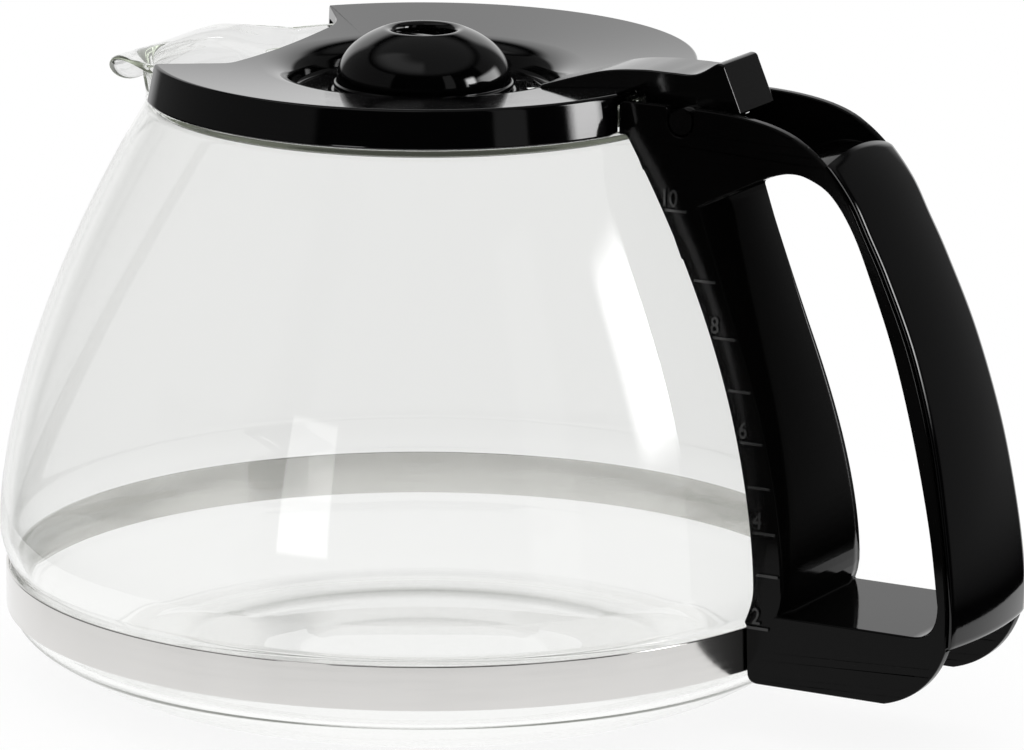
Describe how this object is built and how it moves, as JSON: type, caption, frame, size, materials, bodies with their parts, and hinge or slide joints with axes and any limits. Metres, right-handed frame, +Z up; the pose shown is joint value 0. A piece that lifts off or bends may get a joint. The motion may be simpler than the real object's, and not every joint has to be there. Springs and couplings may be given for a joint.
{
  "type": "coffee jug",
  "caption": "Glass jug of a drip coffee maker with a steel waist band, black loop handle, hinged lid with thumb lever and drip dome, and a rolled pouring spout.",
  "frame": {"origin": "middle of the flat base that stands on the hot plate", "axes": "+Z up along the axis of the glass, +X towards the handle, spout towards -X"},
  "size_m": [0.19, 0.1516, 0.1177],
  "materials": {
    "clear_glass": "clear, fire polished, faint green at the edges",
    "polished_steel": "polished",
    "plain_steel": "plain zinc-plated",
    "satin_black": "satin moulded",
    "gloss_black": "glossy moulded"
  },
  "bodies": {
    "jug": {"glass_body": "clear_glass", "steel_band": "polished_steel", "clamp_nut": "plain_steel", "clamp_screw": "plain_steel", "handle_frame": "satin_black", "grip_cover": "gloss_black"},
    "lid": {"lid_cover": "gloss_black", "drip_dome": "gloss_black", "lid_lever": "satin_black"}
  },
  "joints": [
    {"name": "lid_hinge", "type": "hinge", "parent": "jug", "child": "lid", "pos_m": [0.058, 0, 0.1078], "axis": [0, 1, 0], "range_deg": [0, 80]}
  ]
}
